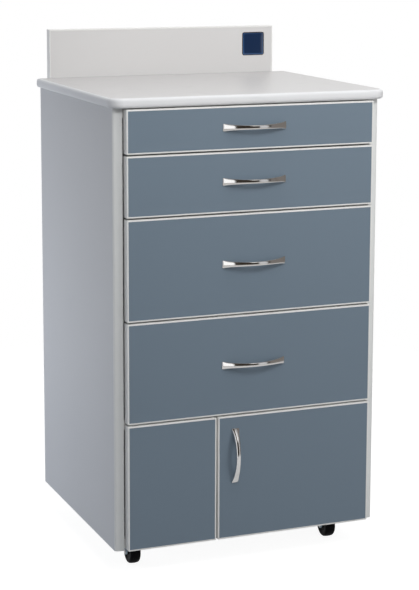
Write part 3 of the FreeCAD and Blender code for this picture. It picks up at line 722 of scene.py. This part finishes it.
# Screws of the pull inside the box, where it is tall enough, and of the runners on the box's sides.
def addDrawerScrews(count):
    look = drawerScrews
    pullLow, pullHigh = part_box(f"drawer_pull_{count}")
    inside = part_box(f"drawer_front_{count}")[1].y + look["boxBoard"]
    z = (pullLow.z + pullHigh.z) / 2
    skins = []
    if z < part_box(f"drawer_box_{count}")[1].z - look["headRoom"]:
        ends = (pullLow.x + look["fromPullEnd"], pullHigh.x - look["fromPullEnd"])
        skins = [screwSkin((x, inside, z), (0, 1, 0)) for x in ends]
    low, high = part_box(f"drawer_runners_{count}")
    for side, x in ((1, low.x + look["member"]), (-1, high.x - look["member"])):
        for y in (*(low.y + step for step in look["fromFront"]), high.y - look["fromRear"]):
            skins.append(screwSkin((x, y, (low.z + high.z) / 2), (-side, 0, 0), screwLook["small"]))
    addPiece(f"drawerScrews_{count}", skins, "screwZinc", f"drawer_{count}")


hingeScrews = {"cup": 26 * mm, "plate": 3 * mm, "fromArmEnd": 21 * mm, "plateOffsets": (-16 * mm, 16 * mm),
               "cupOffsets": (-22 * mm, 22 * mm)}
backScrews = {"fromSide": 25 * mm, "fromEdge": 12 * mm, "columns": 5}


# Two screws at each hinge arm, and a row along the top and the bottom of the back panel.
def addCabinetScrews():
    armLow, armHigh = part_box("hinge_arms")
    cupLow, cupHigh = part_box("right_door_hinge_cups")
    hinge, back = hingeScrews, backScrews
    skins = [screwSkin((face, armHigh.y - hinge["fromArmEnd"], z + offset), (way, 0, 0), screwLook["medium"])
             for face, way in ((armLow.x + hinge["plate"], 1), (armHigh.x - hinge["plate"], -1))
             for z in (cupLow.z + hinge["cup"], cupHigh.z - hinge["cup"]) for offset in hinge["plateOffsets"]]
    backLow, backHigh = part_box("back_panel")
    skins += [screwSkin((x, backHigh.y, z), (0, 1, 0), screwLook["small"])
              for x in np.linspace(backLow.x + back["fromSide"], backHigh.x - back["fromSide"], back["columns"])
              for z in (backLow.z + back["fromEdge"], backHigh.z - back["fromEdge"])]
    addPiece("cabinetScrews", skins, "screwZinc", "cabinet")


# Two screws at each hinge cup, on the inside of the door.
def addDoorScrews(node, name, body):
    low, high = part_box(node)
    cup = hingeScrews["cup"]
    skins = [screwSkin(((low.x + high.x) / 2, high.y, z + offset), (0, 1, 0), screwLook["small"])
             for z in (low.z + cup, high.z - cup) for offset in hingeScrews["cupOffsets"]]
    addPiece(name, skins, "screwZinc", body)


for count in drawerNumbers:
    addDrawerScrews(count)
addCabinetScrews()
addDoorScrews("left_door_hinge_cups", "leftDoorScrews", "left_door")
addDoorScrews("right_door_hinge_cups", "rightDoorScrews", "right_door")
print("screws ready")

# Nodes that keep their own shape: by finish, how far their edges are softened in mm.
keptNodes = {
    "sideLaminate": {"side_panel_left": 0.3, "side_panel_right": 0.3},
    "splashLaminate": {"backsplash": 0.2},
    "worktopLaminate": {"worktop": 0.25},
    "whiteMelamine": {"bottom_panel": 0.4, "fixed_shelf": 0.4, "partition": 0.4, "top_rails": 0.4, "loose_shelf": 0.5,
                      "shelf_cleats": 0.8},
    "paintedHardboard": {"back_panel": 0.3},
    "frontLaminate": {"left_door": 0.15, "right_door": 0.15},
    "latchPlastic": {"touch_latch": 0.6},
    "runnerZinc": {"hinge_arms": 0.5, "cabinet_runners": 0.25, "left_door_hinge_cups": 0.3,
                   "right_door_hinge_cups": 0.3},
    "castorZinc": {"castor_plates": 0.35},
}
for count in drawerNumbers:
    keptNodes["frontLaminate"][f"drawer_front_{count}"] = 0.15
    keptNodes["whiteMelamine"][f"drawer_box_{count}"] = 0.8
    keptNodes["paintedHardboard"][f"drawer_floor_{count}"] = 0.2
    keptNodes["runnerZinc"][f"drawer_runners_{count}"] = 0.25
softening = {"merge": 0.02 * mm, "segments": 2, "angle": 35.0}


# Merges the node's loose triangles and rounds its edges by modifiers, so its mesh stays as it is.
def softenNode(name, finish, width):
    piece = cadNodes[name]
    piece.data.materials.clear()
    piece.data.materials.append(finishes[finish])
    weld = piece.modifiers.new("weld", "WELD")
    weld.merge_threshold = softening["merge"]
    bevel = piece.modifiers.new("bevel", "BEVEL")
    bevel.width = width * mm
    bevel.segments = softening["segments"]
    bevel.limit_method = "ANGLE"
    bevel.angle_limit = math.radians(softening["angle"])
    bevel.harden_normals = True


for finish, widths in keptNodes.items():
    for name, width in widths.items():
        softenNode(name, finish, width)
print("boards ready:", sum(len(widths) for widths in keptNodes.values()))

floorLook = {"radius": 1.9, "innerRadius": 0.02, "rings": 24, "segments": 96, "fadeFrom": 0.8, "fadeTo": 0.95,
             "rough": 0.9, "seen": 0.28, "glow": 0.92, "gloss": 0.42, "bounce": 0.32, "bounceTint": (0.96, 0.99, 1.04)}


# A disc under the castors that fades out, so that the white beyond it shows no edge. To the camera it is white with
# the object's shadow, and gloss sees a share of that white. Other light bounces off it as off pale grey paper.
def addFloor():
    look = floorLook
    rings, segments = look["rings"], look["segments"]
    angle = np.linspace(0, 2 * math.pi, segments, endpoint=False)
    radius = np.linspace(look["innerRadius"], look["radius"], rings)[:, None]
    points = np.stack([radius * np.cos(angle), radius * np.sin(angle), np.zeros((rings, segments))], axis=-1)
    mesh = bpy.data.meshes.new("floor")
    mesh.from_pydata(points.reshape(-1, 3).tolist(), [], gridFaces(rings, segments) + [list(range(segments))])
    finish, tree, shader, place, _ = startFinish("floorFinish")
    distance = addNode(tree, "ShaderNodeVectorMath", {0: place}, operation="LENGTH").outputs["Value"]
    ray = addNode(tree, "ShaderNodeLightPath").outputs
    inGloss = times(tree, ray["Is Glossy Ray"], look["gloss"])
    shown = mathNode(tree, "MAXIMUM", ray["Is Camera Ray"], inGloss)
    bounce = [look["bounce"] * share for share in look["bounceTint"]]
    faded = fadeBetween(tree, distance, look["fadeFrom"], look["radius"] * look["fadeTo"])
    feed(tree, shader, Alpha=mathNode(tree, "SUBTRACT", 1.0, faded), Roughness=look["rough"], Specular_IOR_Level=0.0,
         Emission_Strength=1.0, Base_Color=mixColour(tree, shown, bounce, [look["seen"]] * 3),
         Emission_Color=mixColour(tree, shown, (0, 0, 0), [look["glow"]] * 3))
    mesh.materials.append(finish)
    addObject("floor", mesh)


# Each lamp: place, aim, width and height, glow, tint.
lampLooks = {
    "keyBox": ((1.25, -1.9, 2.3), (0.05, -0.2, 0.9), (1.1, 1.1), 3.3, (1.0, 0.99, 0.97)),
    "sideBox": ((0.95, -2.0, 1.1), (0.12, -0.25, 0.7), (0.55, 0.9), 3.9, (1.0, 0.99, 0.98)),
    "lowBox": ((1.1, -1.7, 0.4), (0.2, -0.25, 0.4), (1.0, 0.5), 1.7, (1.0, 0.99, 0.98)),
    "frontBox": ((-0.1, -1.7, 1.95), (0.0, -0.25, 0.85), (0.6, 0.6), 8.4, (1.0, 1.0, 1.0)),
    "cameraBox": ((-0.6, -2.2, 2.05), (0.0, -0.25, 0.85), (0.5, 0.5), 11.5, (1.0, 1.0, 1.0)),
    "overheadBox": ((0.0, -0.7, 2.3), (0.0, -0.2, 0.8), (1.4, 0.7), 2.2, (1.0, 0.995, 0.985)),
    "topBox": ((0.2, 0.6, 2.6), (0.0, 0.0, 0.9), (1.6, 1.2), 2.3, (1.0, 0.99, 0.98)),
    "leftRearBox": ((-1.35, 0.75, 0.33), (-0.28, 0.1, 0.33), (1.0, 0.6), 3.9, (0.93, 0.98, 1.06)),
}


# A lamp's power is glow * pi * area. It lights the object but shows neither to the camera nor in gloss.
def addLamps():
    for name, (place, aim, size, glow, tint) in lampLooks.items():
        lamp = bpy.data.lights.new(name, "AREA")
        lamp.shape = "RECTANGLE"
        lamp.size, lamp.size_y = size
        lamp.energy = glow * math.pi * size[0] * size[1]
        lamp.color = tint
        holder = addObject(name, lamp)
        holder.location = place
        holder.rotation_mode = "QUATERNION"
        holder.rotation_quaternion = (Vector(aim) - Vector(place)).to_track_quat("-Z", "Y")
        holder.visible_camera = False
        holder.visible_glossy = False


# Directions round the object in degrees: turn is 0 straight ahead of it and grows to its right, rise is 0 at level.
# The fades with Way in their names go by the direction's own y.
roomLook = {
    "diffuse": 0.3, "base": (0.40, 0.40, 0.41), "floorward": (0.50, 0.485, 0.475), "floorRight": (0.20, 0.19, 0.18),
    "rear": (0.78, 0.78, 0.79), "rearWay": (0.1, 0.7), "whiteWay": (0.05, 0.35), "floorFade": (13.5, 17.0),
    "leftSoft": 12.0, "patchSoft": 1.5, "heightSoft": 5.0, "floorSoft": 3.0,
    "left": {"turn": (-150.0, -70.0), "colour": (0.46, 0.49, 0.57)},
    "card": {"turn": (-46.0, -18.0), "rise": (-90.0, 32.0), "colour": (1.15, 1.16, 1.18)},
    "dark": {"turn": (-18.0, 26.0), "rise": (-90.0, 72.0), "colour": (0.035, 0.028, 0.022)},
    "ceiling": {"turn": (14.0, 27.0), "rise": (22.0, 48.0), "colour": (1.0, 1.0, 1.0)},
    "strip": {"turn": (26.0, 42.0), "rise": (-90.0, 35.0), "colour": (0.62, 0.63, 0.65)},
    "notch": {"turn": (43.0, 49.0), "rise": (-90.0, 60.0), "colour": (0.05, 0.04, 0.035)},
    "right": {"turn": (49.0, 105.0), "rise": (-90.0, 70.0), "colour": (0.20, 0.185, 0.175)},
}


# The world: white to the camera, through glass and in gloss that looks past the object's rear. Other gloss finds a
# studio with a pale rear, grey sides, a grey floor, a white card, ceiling and strip, and darkness ahead of the object.
# Plain surfaces take only a share of the studio's light.
def addRoom():
    look = roomLook
    world = bpy.data.worlds.new("studio")
    bpy.context.scene.world = world
    world.use_nodes = True
    tree = world.node_tree
    tree.nodes.clear()
    way = addNode(tree, "ShaderNodeSeparateXYZ", {0: addNode(tree, "ShaderNodeTexCoord").outputs["Generated"]}).outputs
    turn = mathNode(tree, "DEGREES", mathNode(tree, "ARCTAN2", way[0], times(tree, way[1], -1.0)))
    rise = mathNode(tree, "DEGREES", mathNode(tree, "ARCSINE", way[2]))
    colour = mixColour(tree, fadeBetween(tree, way[1], *look["rearWay"]), look["base"], look["rear"])
    left = windowOf(tree, turn, *look["left"]["turn"], look["leftSoft"])
    colour = mixColour(tree, left, colour, look["left"]["colour"])
    for name in ("card", "dark", "ceiling", "strip", "notch", "right"):
        part = look[name]
        inside = times(tree, windowOf(tree, turn, *part["turn"], look["patchSoft"]),
                       windowOf(tree, rise, *part["rise"], look["heightSoft"]))
        colour = mixColour(tree, inside, colour, part["colour"])
    aside = windowOf(tree, turn, *look["right"]["turn"], look["floorSoft"])
    ground = mixColour(tree, aside, look["floorward"], look["floorRight"])
    fall = times(tree, rise, -1.0)
    colour = mixColour(tree, fadeBetween(tree, fall, *look["floorFade"]), colour, ground)
    ray = addNode(tree, "ShaderNodeLightPath").outputs
    strength = mathNode(tree, "MULTIPLY_ADD", ray["Is Diffuse Ray"], look["diffuse"] - 1, 1.0)
    room = addNode(tree, "ShaderNodeBackground", {"Color": colour, "Strength": strength})
    white = addNode(tree, "ShaderNodeBackground", {"Color": (1, 1, 1, 1), "Strength": 1.0})
    behind = times(tree, ray["Is Glossy Ray"], fadeBetween(tree, way[1], *look["whiteWay"]))
    direct = mathNode(tree, "MAXIMUM", ray["Is Camera Ray"], ray["Is Transmission Ray"])
    shown = mathNode(tree, "MAXIMUM", direct, behind)
    mixed = addNode(tree, "ShaderNodeMixShader", {0: shown, 1: room.outputs[0], 2: white.outputs[0]})
    tree.links.new(mixed.outputs[0], addNode(tree, "ShaderNodeOutputWorld").inputs["Surface"])


cameraLook = {"eye": (-1.33381, -3.33038, 1.26126), "turn": -21.95, "tilt": -8.94, "roll": 0.15,
              "focalRows": 1750.9, "centreRow": 204.0, "rows": 590, "sensor": 36.0}


# The photograph's camera: turned about the upright, tilted down, and shifted to its own centre row.
def addCamera():
    look = cameraLook
    lens = bpy.data.cameras.new("photoCamera")
    lens.sensor_width = look["sensor"]
    lens.lens = look["focalRows"] / look["rows"] * look["sensor"]
    lens.shift_y = (look["centreRow"] - look["rows"] / 2) / look["rows"]
    holder = addObject("photoCamera", lens)
    turn, tilt, roll = (Matrix.Rotation(math.radians(angle), 4, axis) for angle, axis in (
        (look["turn"], "Z"), (90 + look["tilt"], "X"), (look["roll"], "Z")))
    holder.matrix_world = Matrix.Translation(look["eye"]) @ (turn @ tilt @ roll)
    bpy.context.scene.camera = holder


addFloor()
addLamps()
addRoom()
addCamera()
bpy.context.scene.view_settings.view_transform = "Standard"
print("stage ready")

bpy.context.view_layer.update()
